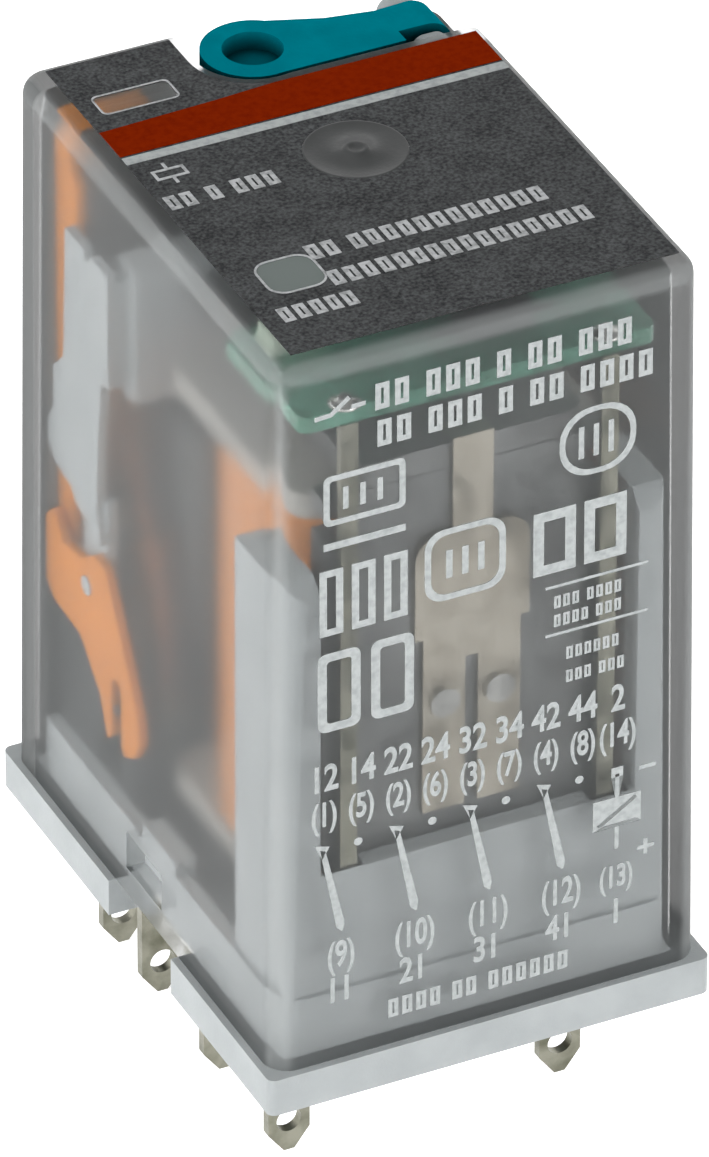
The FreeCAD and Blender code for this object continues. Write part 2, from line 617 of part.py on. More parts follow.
def make_test_lever():
    """Hinged lever: round head with a blind recess, tapering arm, hinge boss with trunnions, and a peg."""
    thick = LEVER_TOP - LEVER_LOW
    head = rod(HEAD_RADIUS, thick, (HEAD_X, HEAD_Y, LEVER_LOW), (0, 0, 1))
    rear = 12.0
    arm = flat_plate([(HEAD_X, HEAD_Y - HEAD_RADIUS + 0.02), (LEVER_X - 1.35, 8.15), (LEVER_X - 1.35, 8.95),
                      (LEVER_X, 8.95), (LEVER_X, 11.0), (6.2, 10.9), (4.0, 11.3), (HEAD_X + 1.4, rear + 0.22),
                      (HEAD_X, HEAD_Y + HEAD_RADIUS)], LEVER_LOW, LEVER_TOP)
    boss = rod(LEVER_TOP - LEVER_Z, 2.05, (LEVER_X, 8.95, LEVER_Z), (0, 1, 0))
    back = fitted_half(BRACKET_FLOOR)[1]
    trunnion = rod(TRUNNION_RADIUS, back - 8.0, (LEVER_X, 8.0, LEVER_Z), (0, 1, 0))
    lever = head.fuse(arm).fuse(boss).fuse(trunnion)
    lever = lever.cut(rod(1.35, 1.0, (HEAD_X, HEAD_Y, LEVER_TOP - 0.9), (0, 0, 1)))
    peg = rod(0.7, 2.4, (HEAD_X, HEAD_Y, LEVER_LOW - 2.3), (0, 0, 1))
    return lever.fuse(peg).removeSplitter()


def make_indicator_arm():
    """Orange rocker: a fork on the fixed peg, a hole on the carrier's pivot, a long bar and a flag."""
    plate = side_plate([(ARM_BACK, 15.3), (10.9, 16.1), (9.9, 14.9), (8.0, 15.2), (6.7, 16.2), (5.5, 16.0),
                        (3.7, 13.0), (2.3, 10.3), (2.1, 9.0), (2.7, 7.9), (3.7, 7.4), (4.1, 7.9),
                        (4.9, 7.9), (5.4, 7.3), (6.2, 9.2), (8.2, 11.1), (10.9, 11.3), (ARM_BACK, 11.9)],
                       -ARM_OUTER, -ARM_INNER)
    slot = box(-10, -8, PEG_Y - FORK_HALF, PEG_Y + FORK_HALF, 7, 10.4)
    slot = slot.fuse(rod(FORK_HALF, 2, (-10, PEG_Y, 10.4), (1, 0, 0)))
    plate = plate.cut(slot)
    plate = plate.cut(rod(PIVOT_RADIUS, 2, (-10, PIVOT_Y, PIVOT_Z), (1, 0, 0)))
    top = 36.0
    bar = side_plate([(FLAG_FRONT, 13.8), (ARM_BACK, 13.8), (ARM_BACK, top), (FLAG_FRONT, top),
                      (FLAG_FRONT, 34.2), (BAR_FRONT, 33.2), (BAR_FRONT, 20.5), (FLAG_FRONT, 16.0)],
                     -BAR_OUTER, -BAR_INNER)
    joggle = box(-ARM_INNER - 0.1, -BAR_INNER, FLAG_FRONT + 0.2, ARM_BACK - 0.1, 13.0, 14.8)
    flag = box(-BAR_OUTER, -4.7, FLAG_FRONT, ARM_BACK, top - 0.4, top)
    return plate.fuse(joggle).fuse(bar).fuse(flag).removeSplitter()


def make_pcb():
    """Board on top of the coil risers."""
    board = box(-8.3, 8.3, -12.0, -5.0, BOARD_LOW, BOARD_LOW + BOARD_THICK)
    return board.makeFillet(0.5, edges_along(board, (0, 0, 1)))


def make_led():
    """Small surface-mounted lamp with a clear dome."""
    top = BOARD_LOW + BOARD_THICK
    body = box(-7.3, -4.9, -7.4, -5.8, top, top + 0.8)
    return body.fuse(rod(0.7, 1.3, (-6.1, -6.6, top), (0, 0, 1))).removeSplitter()


def make_diode():
    """Round diode lying across the board."""
    top = BOARD_LOW + BOARD_THICK
    body = rod(0.7, 3.2, (0.2, -9.6, top + 0.75), (1, 0, 0))
    return body.fuse(rod(0.2, 5.4, (-0.9, -9.6, top + 0.75), (1, 0, 0))).removeSplitter()


def make_resistor():
    """Flat chip resistor."""
    top = BOARD_LOW + BOARD_THICK
    return box(-2.4, -0.4, -7.6, -6.4, top, top + 0.5)


def make_winding_leads():
    """Two wires from the top flange of the bobbin to the risers."""
    return [rod(0.15, 1.95, (side * LEAD_X, -11.65, LEAD_Z), (0, 1, 0)) for side in (-1, 1)]


def parts_list():
    """Every node of the relay with its shape."""
    parts = {
        "cover": make_cover(),
        "base": make_base(),
        "contact_block": make_contact_block(),
        "lever_bracket": make_lever_bracket(),
        "test_lever": make_test_lever(),
        "indicator_arm": make_indicator_arm(),
        "contact_carrier": make_contact_carrier(),
        "armature": make_armature(),
        "armature_rivets": Part.makeCompound(make_armature_rivets()),
        "moving_contacts": Part.makeCompound(make_moving_contacts()),
        "no_contacts": Part.makeCompound(make_no_contacts()),
        "nc_contacts": Part.makeCompound(make_nc_contacts()),
        "flexible_leads": Part.makeCompound(make_flexible_leads()),
        "yoke": make_yoke(),
        "core": make_core(),
        "coil_bobbin": make_coil_bobbin(),
        "coil_winding": make_coil_winding(),
        "coil_tape": make_coil_tape(),
        "return_spring": make_return_spring(),
        "spring_rivets": Part.makeCompound(make_spring_rivets()),
        "pcb": make_pcb(),
        "led": make_led(),
        "diode": make_diode(),
        "resistor": make_resistor(),
        "winding_leads": Part.makeCompound(make_winding_leads()),
        "coil_terminal_1": make_coil_terminal(-1),
        "coil_terminal_2": make_coil_terminal(1),
    }
    for number, x in enumerate(POLES, start=1):
        parts[f"com_terminal_{number}"] = make_com_terminal(x)
        parts[f"no_terminal_{number}"] = make_no_terminal(x)
        parts[f"nc_terminal_{number}"] = make_nc_terminal(x)
        parts[f"moving_spring_{number}"] = make_moving_spring(x)
    return parts


os.makedirs("parts", exist_ok=True)
for name, shape in parts_list().items():
    shape.exportStep(f"parts/{name}.step")
    print(name, len(shape.Solids), shape.isValid(), round(shape.Volume, 2))
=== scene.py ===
"""Looks of the plug-in relay: camera, light, materials, printed marks and fine pieces."""
import json
import math

import bmesh
import bpy
from mathutils import Matrix, Vector


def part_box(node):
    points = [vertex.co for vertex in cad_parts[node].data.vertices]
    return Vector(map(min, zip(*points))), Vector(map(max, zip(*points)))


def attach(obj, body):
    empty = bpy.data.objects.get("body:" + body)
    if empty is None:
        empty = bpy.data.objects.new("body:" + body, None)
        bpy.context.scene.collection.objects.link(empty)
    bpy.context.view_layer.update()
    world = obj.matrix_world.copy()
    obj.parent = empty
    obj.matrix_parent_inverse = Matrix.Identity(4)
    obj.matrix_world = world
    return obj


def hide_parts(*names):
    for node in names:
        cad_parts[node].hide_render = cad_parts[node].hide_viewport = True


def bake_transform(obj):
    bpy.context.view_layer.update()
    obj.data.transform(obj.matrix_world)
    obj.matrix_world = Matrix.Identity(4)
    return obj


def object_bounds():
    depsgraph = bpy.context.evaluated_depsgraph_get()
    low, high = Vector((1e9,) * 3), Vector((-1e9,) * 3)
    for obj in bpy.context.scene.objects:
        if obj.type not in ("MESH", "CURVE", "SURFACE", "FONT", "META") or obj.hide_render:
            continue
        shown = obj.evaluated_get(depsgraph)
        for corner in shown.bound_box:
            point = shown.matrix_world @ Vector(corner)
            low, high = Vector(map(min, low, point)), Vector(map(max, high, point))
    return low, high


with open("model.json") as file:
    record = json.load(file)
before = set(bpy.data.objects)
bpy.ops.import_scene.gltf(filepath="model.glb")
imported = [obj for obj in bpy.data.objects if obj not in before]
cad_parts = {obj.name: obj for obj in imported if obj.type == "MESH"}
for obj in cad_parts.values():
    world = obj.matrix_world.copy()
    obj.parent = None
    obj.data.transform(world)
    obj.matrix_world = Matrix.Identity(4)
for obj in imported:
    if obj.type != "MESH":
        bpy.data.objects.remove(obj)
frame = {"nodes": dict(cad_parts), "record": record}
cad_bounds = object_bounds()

MM = 0.001

# Camera: turned left of the front and raised, at a long lens
CAMERA_AZIMUTH = -25.896
CAMERA_ELEVATION = 34.478
CAMERA_ROLL = 0.197
CAMERA_DISTANCE = 576.744 * MM
CAMERA_RIGHT = 0.09 * MM
CAMERA_UP = 13.495 * MM
CAMERA_LENS = 408.17
SENSOR = 36.0

# Ink and label films
FILM = 0.03 * MM
LABEL_FILM = 0.05 * MM

# Rounded edges of the clear cover: they start this far inside its box, and are full over the band. There the
# haze is raised and paled, a painted highlight along the edges
EDGE_START = 1.05 * MM
EDGE_BAND = 0.35 * MM
EDGE_HIGHLIGHT_HAZE = 0.22

# The thick rear corners of the cover read dark, over this depth from the back
REAR_DEPTH = 2.5 * MM
REAR_BAND = 0.25 * MM
REAR_HAZE = 0.55
REAR_DARK = 0.85

# Walls of the cover: their haze, the blur of the view through them, and their smoke.
# A wall that the view leaves through, with only the room behind it, reads darker.
WALL_HAZE = (0.10, 0.15)
WALL_BLUR = (0.28, 0.36)
WALL_IOR = 1.05
NEAR_SMOKE = 0.94
FAR_SMOKE = 0.16
SHADOW_SMOKE = (0.86, 0.87, 0.87, 1)

# Gloss on the outside of the cover
GLOSS_SHARE = 0.18
GLOSS_BLUR = 0.16
GLOSS_IOR = 1.45

# Painted shade on the contact block: it is darkest below this height, and pales over the fade above it
BLOCK_SHADE_TOP = 10.6 * MM
BLOCK_SHADE_FADE = 1.5 * MM

# Floor, in metres: radius of its flat part, radius of its curved rim, and the wall above the rim
FLOOR_FLAT = 1.5
FLOOR_CURVE = 0.5
FLOOR_RISE = 0.6
FLOOR_STEPS = 96
RIM_STEPS = 10
FLOOR_GLOW = 0.72

# Lights: place and side in metres, power in watts
TOP_LIGHT = ((-0.05, 0.12, 0.45), 0.35, 0.35)
LEFT_LIGHT = ((-0.42, -0.06, 0.20), 0.30, 1.15)
FRONT_LIGHT = ((0.22, -0.42, 0.20), 0.30, 0.65)
LIGHT_TARGET = (0, 0, 0.015)
WORLD_LIGHT = 0.36


# ---------------------------------------------------------------- material tools

class Shader:
    """A node material with short calls for the nodes that the materials below share."""

    def __init__(self, name):
        self.material = bpy.data.materials.new(name)
        self.material.use_nodes = True
        self.nodes = self.material.node_tree.nodes
        self.links = self.material.node_tree.links
        self.surface = self.nodes["Principled BSDF"]
        self.output = self.nodes["Material Output"]
        self.coordinates = self.nodes.new("ShaderNodeTexCoord").outputs
        self.place = self.coordinates["Object"]

    def set(self, **values):
        """Sets inputs of the main surface; an underscore in a name stands for a space."""
        for key, value in values.items():
            self.surface.inputs[key.replace("_", " ")].default_value = value

    def link(self, source, target):
        """Joins an output to an input."""
        self.links.new(source, target)

    def feed(self, socket, value):
        """Links another node's output to a socket, or gives the socket a plain value."""
        if isinstance(value, bpy.types.NodeSocket):
            self.link(value, socket)
        else:
            socket.default_value = value

    def split(self, vector):
        """The X, Y and Z parts of a vector."""
        node = self.nodes.new("ShaderNodeSeparateXYZ")
        self.link(vector, node.inputs[0])
        return node.outputs

    def scaled(self, stretch):
        """Object coordinates with each axis stretched."""
        node = self.nodes.new("ShaderNodeMapping")
        node.inputs["Scale"].default_value = stretch
        self.link(self.place, node.inputs["Vector"])
        return node.outputs["Vector"]

    def noise(self, size, detail=3.0, stretch=(1, 1, 1)):
        """Noise whose blotches are about size metres across."""
        node = self.nodes.new("ShaderNodeTexNoise")
        node.inputs["Scale"].default_value = 1.0 / size
        node.inputs["Detail"].default_value = detail
        self.link(self.scaled(stretch), node.inputs["Vector"])
        return node.outputs["Fac"]

    def wave(self, size, stretch, distortion=0.0):
        """Parallel bands."""
        node = self.nodes.new("ShaderNodeTexWave")
        node.inputs["Scale"].default_value = 1.0 / size
        node.inputs["Distortion"].default_value = distortion
        self.link(self.scaled(stretch), node.inputs["Vector"])
        return node.outputs["Fac"]

    def ramp(self, value, low, high, colours):
        """Maps value between low and high from the first colour to the last."""
        node = self.nodes.new("ShaderNodeValToRGB")
        ramp = node.color_ramp
        ramp.elements[0].position = low
        ramp.elements[0].color = (*colours[0], 1)
        ramp.elements[1].position = high
        ramp.elements[1].color = (*colours[-1], 1)
        self.link(value, node.inputs["Fac"])
        return node.outputs["Color"]

    def spread(self, value, low, high):
        """Maps a 0 to 1 value to the span from low to high."""
        node = self.nodes.new("ShaderNodeMapRange")
        node.inputs["To Min"].default_value = low
        node.inputs["To Max"].default_value = high
        self.link(value, node.inputs["Value"])
        return node.outputs["Result"]

    def bump(self, value, height, strength=0.6):
        """Raises the surface by value times height."""
        node = self.nodes.new("ShaderNodeBump")
        node.inputs["Strength"].default_value = strength
        node.inputs["Distance"].default_value = height
        self.link(value, node.inputs["Height"])
        self.link(node.outputs["Normal"], self.surface.inputs["Normal"])

    def mixed(self, share, first, second, kind="MIX"):
        """Mixes two colours; share 0 gives the first."""
        node = self.nodes.new("ShaderNodeMix")
        node.data_type = "RGBA"
        node.blend_type = kind
        for place, value in ((0, share), (6, first), (7, second)):
            self.feed(node.inputs[place], value)
        return node.outputs[2]

    def layered(self, share, under, over):
        """Lays one surface over another; share 1 shows only the upper one."""
        node = self.nodes.new("ShaderNodeMixShader")
        for socket, value in zip(node.inputs, (share, under, over)):
            self.feed(socket, value)
        return node.outputs[0]

    def shaded(self, colour, distance):
        """The colour, darker where walls closer than distance shut out the light."""
        closed = self.nodes.new("ShaderNodeAmbientOcclusion")
        closed.inputs["Distance"].default_value = distance
        dark = self.ramp(closed.outputs["AO"], 0.35, 0.95, ((0.12,) * 3, (1,) * 3))
        return self.mixed(1.0, colour, dark, "MULTIPLY")

    def clamped(self, value, start, band):
        """Rises from 0 at start to 1 over the width of band."""
        share = self.math("DIVIDE", self.math("SUBTRACT", value, start), band)
        return self.math("MINIMUM", self.math("MAXIMUM", share, 0.0), 1.0)

    def math(self, kind, first, second=0.0):
        """One step of arithmetic on values."""
        node = self.nodes.new("ShaderNodeMath")
        node.operation = kind
        for socket, value in zip(node.inputs, (first, second)):
            self.feed(socket, value)
        return node.outputs[0]


def moulded(name, colour, shade, roughness, grain, lift=0.02, scatter=0.0, shine=0.5, painted_glow=0.0,
            hollow_shade=0.0):
    """Moulded plastic: two close tones in soft clouds, fine grain and uneven gloss.

    A glow painted in the part's own colour brightens it as if more light fell on it. Hollows narrower than
    the shade distance get painted shade.
    """
    shader = Shader(name)
    clouds = shader.noise(2.5 * MM, 4)
    tone = shader.ramp(clouds, 0.35, 0.7, (shade, colour))
    # Painted shade: the colour darkens in narrow hollows
    if hollow_shade:
        tone = shader.shaded(tone, hollow_shade)
    shader.link(tone, shader.surface.inputs["Base Color"])
    shader.link(shader.spread(shader.noise(0.9 * MM), roughness - 0.06, roughness + 0.08),
                shader.surface.inputs["Roughness"])
    shader.bump(shader.noise(grain, 2), lift * MM, 0.5)
    # Painted glow: emission in the part's own colour, though it is no lamp
    shader.set(IOR=1.5, Specular_IOR_Level=shine, Emission_Color=(*colour, 1), Emission_Strength=painted_glow)
    if scatter:
        shader.set(Subsurface_Weight=scatter, Subsurface_Scale=0.6 * MM)
        shader.surface.inputs["Subsurface Radius"].default_value = (1, 0.9, 0.8)
    return shader.material


def block_material():
    """Dark moulding of the contact block, with painted shade: nearly black low down where it stands in the
    base, paler higher up.
    """
    shader = Shader("dark_plastic")
    # Painted shade: the block's own dark colour is made darker low down and paler with height
    height = shader.clamped(shader.split(shader.place)["Z"], BLOCK_SHADE_TOP, BLOCK_SHADE_FADE)
    clouds = shader.math("MULTIPLY", shader.noise(2.5 * MM, 4), 0.15)
    tone = shader.math("ADD", shader.math("MULTIPLY", height, 0.85), clouds)
    shader.link(shader.ramp(tone, 0.05, 0.95, ((0.022, 0.024, 0.024), (0.150, 0.154, 0.152))),
                shader.surface.inputs["Base Color"])
    shader.bump(shader.noise(0.12 * MM, 2), 0.02 * MM, 0.5)
    shader.set(Roughness=0.6, IOR=1.5, Specular_IOR_Level=0.08)
    return shader.material


def metal(name, colour, shade, roughness, stretch, lift=0.01):
    """Sheet metal: drawn grain along one axis, small stains and scuffed gloss."""
    shader = Shader(name)
    stains = shader.noise(1.3 * MM, 5)
    shader.link(shader.ramp(stains, 0.4, 0.72, (colour, shade)), shader.surface.inputs["Base Color"])
    drawn = shader.noise(0.25 * MM, 3, stretch)
    shader.link(shader.spread(drawn, roughness - 0.1, roughness + 0.12), shader.surface.inputs["Roughness"])
    shader.bump(drawn, lift * MM, 0.5)
    shader.set(Metallic=1.0)
    return shader.material


def leaving_walls(shader, place):
    """1 where the view leaves the cover through a side wall, 0 where it enters and for bounced light."""
    facing = shader.split(shader.coordinates["Normal"])
    shares = []
    for axis, half in zip("XY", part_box("cover")[1]):
        outward = shader.math("MULTIPLY", place[axis], facing[axis])
        inward = shader.math("MULTIPLY", outward, -1.0)
        shares.append(shader.clamped(inward, half * 0.55, half * 0.25))
    path = shader.nodes.new("ShaderNodeLightPath").outputs
    bounces = shader.math("ADD", path["Diffuse Depth"], path["Glossy Depth"])
    seen = shader.math("LESS_THAN", bounces, 0.5)
    return shader.math("MULTIPLY", shader.math("MAXIMUM", *shares), seen)


def cover_shares(shader, place):
    """How far a point of the cover is in a rounded edge, and in a thick rear corner, each 0 to 1."""
    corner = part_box("cover")[1]
    reaches = (shader.math("ABSOLUTE", place["X"]), shader.math("ABSOLUTE", place["Y"]), place["Z"])
    near = [shader.clamped(reach, limit - EDGE_START, EDGE_BAND) for reach, limit in zip(reaches, corner)]
    pairs = [shader.math("MULTIPLY", near[a], near[b]) for a, b in ((0, 1), (0, 2), (1, 2))]
    edge = shader.math("MAXIMUM", shader.math("MAXIMUM", pairs[0], pairs[1]), pairs[2])
    rear = shader.clamped(place["Y"], corner.y - REAR_DEPTH, REAR_BAND)
    return edge, shader.math("MULTIPLY", rear, near[0])


def cover_view(shader, place, flow):
    """Blurred smoky view through a wall."""
    view = shader.nodes.new("ShaderNodeBsdfGlass")
    view.inputs["IOR"].default_value = WALL_IOR
    smoke = shader.ramp(leaving_walls(shader, place), 0.0, 1.0, ((NEAR_SMOKE,) * 3, (FAR_SMOKE,) * 3))
    shader.link(smoke, view.inputs["Color"])
    shader.link(shader.spread(flow, *WALL_BLUR), view.inputs["Roughness"])
    return view


def cover_milk(shader, edge, rear):
    """Pale body of the haze, paler at the rounded edges as a painted highlight, darker in the rear corners.
    """
    milk = shader.nodes.new("ShaderNodeBsdfDiffuse")
    # Paler at the rounded edges: a painted highlight
    tone = shader.ramp(edge, 0.0, 0.9, ((0.20, 0.21, 0.21), (0.31, 0.325, 0.325)))
    dark = shader.math("MULTIPLY", rear, REAR_DARK)
    shader.link(shader.mixed(dark, tone, (0.10, 0.105, 0.105, 1)), milk.inputs["Color"])
    return milk


def outside_gloss(shader):
    """Gloss coat, and its share: only on faces that face the eye, and more at a flat angle."""
    coat = shader.nodes.new("ShaderNodeBsdfAnisotropic")
    coat.inputs["Roughness"].default_value = GLOSS_BLUR
    fresnel = shader.nodes.new("ShaderNodeFresnel")
    fresnel.inputs["IOR"].default_value = GLOSS_IOR
    behind = shader.nodes.new("ShaderNodeNewGeometry").outputs["Backfacing"]
    facing = shader.math("MULTIPLY", shader.math("SUBTRACT", 1.0, behind), GLOSS_SHARE)
    return coat, shader.math("MULTIPLY", fresnel.outputs[0], facing)


def cover_material():
    """Smoky clear cover: a blurred view through, a haze that grows towards the edges as a painted highlight,
    and a gloss coat.
    """
    shader = Shader("clear_cover")
    place = shader.split(shader.place)
    edge, rear = cover_shares(shader, place)
    flow = shader.noise(3.5 * MM, 3, (1, 1, 0.35))
    # The extra haze at the rounded edges is a painted highlight
    haze = shader.math("ADD", shader.spread(flow, *WALL_HAZE), shader.math("MULTIPLY", edge, EDGE_HIGHLIGHT_HAZE))
    haze = shader.math("ADD", haze, shader.math("MULTIPLY", rear, REAR_HAZE))
    view = cover_view(shader, place, flow)
    milk = cover_milk(shader, edge, rear)
    coat, share = outside_gloss(shader)
    body = shader.layered(haze, view.outputs[0], milk.outputs[0])
    glossy = shader.layered(share, body, coat.outputs[0])
    clear = shader.nodes.new("ShaderNodeBsdfTransparent")
    clear.inputs["Color"].default_value = SHADOW_SMOKE
    shadow = shader.nodes.new("ShaderNodeLightPath").outputs["Is Shadow Ray"]
    final = shader.layered(shadow, glossy, clear.outputs[0])
    ripple = shader.nodes.new("ShaderNodeBump")
    ripple.inputs["Strength"].default_value = 0.2
    ripple.inputs["Distance"].default_value = 0.03 * MM
    shader.link(shader.noise(2.6 * MM, 1), ripple.inputs["Height"])
    for node in (view, coat, milk):
        shader.link(ripple.outputs["Normal"], node.inputs["Normal"])
    shader.nodes.remove(shader.surface)
    shader.link(final, shader.output.inputs["Surface"])
    return shader.material


def label_material():
    """Dark printed label with a fine light speckle."""
    shader = Shader("label_film")
    speckle = shader.noise(0.16 * MM, 4)
    drift = shader.noise(1.8 * MM, 2)
    both = shader.math("ADD", shader.math("MULTIPLY", speckle, 0.75), shader.math("MULTIPLY", drift, 0.25))
    shader.link(shader.ramp(both, 0.36, 0.68, ((0.018, 0.019, 0.020), (0.084, 0.088, 0.090))),
                shader.surface.inputs["Base Color"])
    shader.bump(speckle, 0.02 * MM, 0.5)
    shader.link(shader.spread(drift, 0.5, 0.65), shader.surface.inputs["Roughness"])
    shader.set(Specular_IOR_Level=0.06)
    return shader.material


def ink_material(name, colour, shade):
    """Printed ink: slightly broken colour, thin in places."""
    shader = Shader(name)
    patch = shader.noise(0.28 * MM, 4)
    shader.link(shader.ramp(patch, 0.3, 0.6, (shade, colour)), shader.surface.inputs["Base Color"])
    shader.bump(patch, 0.01 * MM, 0.4)
    shader.set(Roughness=0.5, Specular_IOR_Level=0.0)
    return shader.material


def window_material(name, colour, amount):
    """Clear patch of a label that shows what lies under it."""
    shader = Shader(name)
    grain = shader.noise(0.4 * MM, 3)
    shader.link(shader.spread(grain, 0.15, 0.3), shader.surface.inputs["Roughness"])
    shader.set(Base_Color=(*colour, 1), Alpha=amount, IOR=1.45)
    return shader.material


def tape_material():
    """Orange coil wrap: turns of tape with faint overlaps."""
    shader = Shader("orange_tape")
    turns = shader.wave(3.2 * MM, (0, 0, 1), 0.6)
    shader.link(shader.ramp(turns, 0.1, 0.9, ((0.50, 0.165, 0.01), (0.60, 0.21, 0.015))),
                shader.surface.inputs["Base Color"])
    shader.bump(turns, 0.05 * MM, 0.5)
    shader.set(Roughness=0.38, Coat_Weight=0.3)
    return shader.material


def copper_material():
    """Enamelled wire: fine even turns."""
    shader = Shader("enamelled_copper")
    turns = shader.wave(0.35 * MM, (0, 0, 1))
    shader.link(shader.ramp(turns, 0.0, 1.0, ((0.25, 0.07, 0.02), (0.62, 0.24, 0.09))),
                shader.surface.inputs["Base Color"])
    shader.bump(turns, 0.05 * MM, 0.8)
    shader.set(Metallic=0.8, Roughness=0.3, Coat_Weight=0.5)
    return shader.material


def braid_material():
    """Bare copper braid."""
    shader = Shader("copper_braid")
    weave = shader.wave(0.15 * MM, (1, 1, 2), 2.0)
    shader.link(shader.ramp(weave, 0.2, 0.8, ((0.30, 0.11, 0.05), (0.72, 0.36, 0.20))),
                shader.surface.inputs["Base Color"])
    shader.bump(weave, 0.02 * MM, 0.6)
    shader.set(Metallic=1.0, Roughness=0.42)
    return shader.material


def board_material():
    """Green board: solder mask over faint copper areas."""
    shader = Shader("green_board")
    areas = shader.noise(1.6 * MM, 1)
    shader.link(shader.ramp(areas, 0.48, 0.52, ((0.035, 0.15, 0.095), (0.05, 0.21, 0.14))),
                shader.surface.inputs["Base Color"])
    shader.bump(areas, 0.03 * MM, 0.4)
    shader.set(Roughness=0.32, Coat_Weight=0.4)
    return shader.material


def make_materials():
    """One material for each slot of the record, and those of the printed films."""
    return {
        "clear_cover": cover_material(),
        "grey_plastic": moulded("grey_plastic", (0.34, 0.36, 0.365), (0.30, 0.32, 0.325), 0.5, 0.12 * MM,
                                scatter=0.08, shine=0.18),
        "dark_plastic": block_material(),
        # Teal: painted shade in its hollows, such as the lever's recess
        "teal_plastic": moulded("teal_plastic", (0.0, 0.185, 0.238), (0.0, 0.150, 0.195), 0.6, 0.2 * MM,
                                0.025, shine=0.0, hollow_shade=1.6 * MM),
        # Orange: a painted glow brightens it, though it is no lamp
        "orange_plastic": moulded("orange_plastic", (0.54, 0.175, 0.002), (0.47, 0.150, 0.001), 0.5,
                                  0.2 * MM, scatter=0.05, shine=0.1, painted_glow=0.12),
        "magnet_steel": metal("magnet_steel", (0.20, 0.205, 0.205), (0.13, 0.13, 0.13), 0.45, (6, 1, 1)),
        "bobbin_plastic": moulded("bobbin_plastic", (0.30, 0.29, 0.27), (0.25, 0.24, 0.22), 0.5, 0.15 * MM,
                                  scatter=0.1),
        "enamelled_copper": copper_material(),
        "orange_tape": tape_material(),
        "spring_metal": metal("spring_metal", (0.42, 0.39, 0.33), (0.30, 0.27, 0.22), 0.3, (1, 1, 6)),
        "rivet_steel": metal("rivet_steel", (0.52, 0.52, 0.50), (0.36, 0.36, 0.35), 0.32, (1, 1, 1)),
        "contact_silver": metal("contact_silver", (0.78, 0.77, 0.74), (0.60, 0.58, 0.54), 0.2, (1, 1, 1)),
        "copper_braid": braid_material(),
        "green_board": board_material(),
        "lamp_resin": window_material("lamp_resin", (0.58, 0.66, 0.56), 0.7),
        "diode_black": moulded("diode_black", (0.012, 0.012, 0.014), (0.02, 0.02, 0.022), 0.25, 0.2 * MM,
                               0.01),
        "resistor_black": moulded("resistor_black", (0.015, 0.016, 0.02), (0.03, 0.03, 0.034), 0.5,
                                  0.1 * MM, 0.01),
        "tinned_brass": metal("tinned_brass", (0.27, 0.265, 0.215), (0.13, 0.13, 0.095), 0.34, (1, 1, 5),
                              0.02),
        "label_film": label_material(),
        "band_ink": ink_material("band_ink", (0.185, 0.014, 0.001), (0.150, 0.010, 0.001)),
        "white_ink": ink_material("white_ink", (0.37, 0.39, 0.39), (0.28, 0.30, 0.30)),
        "label_ink": ink_material("label_ink", (0.44, 0.45, 0.46), (0.24, 0.25, 0.25)),
        "clear_window": window_material("clear_window", (0.35, 0.36, 0.35), 0.06),
        "lamp_window": window_material("lamp_window", (0.17, 0.20, 0.19), 0.7),
        "gate_plastic": moulded("gate_plastic", (0.062, 0.064, 0.064), (0.045, 0.047, 0.047), 0.4, 0.2 * MM,
                                shine=0.15),
        "solder": metal("solder", (0.62, 0.62, 0.60), (0.48, 0.48, 0.46), 0.25, (1, 1, 1)),
    }


def dress_nodes(materials):
    """Gives each CAD node the material of its slot, and a fine edge break except on the finest ones."""
    slots = {part["node"]: part["material_slot"] for part in frame["record"]["subparts"]}
    fine = {"cover", "coil_tape", "coil_winding", "led", "flexible_leads", "winding_leads", "diode"}
    for name, node in frame["nodes"].items():
        node.data.materials.clear()
        node.data.materials.append(materials[slots[name]])
        if name in fine:
            continue
        bevel = node.modifiers.new("edge_break", "BEVEL")
        bevel.width = 0.06 * MM
        bevel.segments = 2
        bevel.limit_method = "ANGLE"
        bevel.angle_limit = math.radians(50)


# ---------------------------------------------------------------- flat printed shapes

def flat_mesh(name, loops, thickness, material, place):
    """A closed film on the cover from outlines in a plane: loops inside an outer loop are holes."""
    curve = bpy.data.curves.new(name, "CURVE")
    curve.dimensions = "2D"
    curve.fill_mode = "BOTH"
    curve.extrude = thickness / 2
    for loop in loops:
        spline = curve.splines.new("POLY")
        spline.points.add(len(loop) - 1)
        for point, (x, y) in zip(spline.points, loop):
            point.co = (x * MM, y * MM, 0, 1)
        spline.use_cyclic_u = True
    mesh = curve_mesh(curve)
    mesh.transform(place)
    return add_piece(name, mesh, material, "root")


def curve_mesh(curve):
    """The welded mesh of a curve or text."""
    holder = bpy.data.objects.new("holder", curve)
    bpy.context.scene.collection.objects.link(holder)
    bpy.context.view_layer.update()
    mesh = bpy.data.meshes.new_from_object(holder.evaluated_get(bpy.context.evaluated_depsgraph_get()))
    bpy.data.objects.remove(holder)
    weld(mesh)
    return mesh


def weld(mesh, distance=0.0005 * MM):
    """Merges doubled vertices, so that the shell is closed, and turns its faces outwards."""
    shape = bmesh.new()
    shape.from_mesh(mesh)
    bmesh.ops.remove_doubles(shape, verts=shape.verts, dist=distance)
    bmesh.ops.recalc_face_normals(shape, faces=shape.faces)
    shape.to_mesh(mesh)
    shape.free()


def add_object(name, mesh, material):
    """Adds a mesh as an object with one material."""
    mesh.name = name
    mesh.materials.clear()
    mesh.materials.append(material)
    piece = bpy.data.objects.new(name, mesh)
    bpy.context.scene.collection.objects.link(piece)
    return piece


def add_piece(name, mesh, material, body):
    """Adds a mesh as a piece that rides on a body."""
    piece = add_object(name, mesh, material)
    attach(piece, body)
    return piece


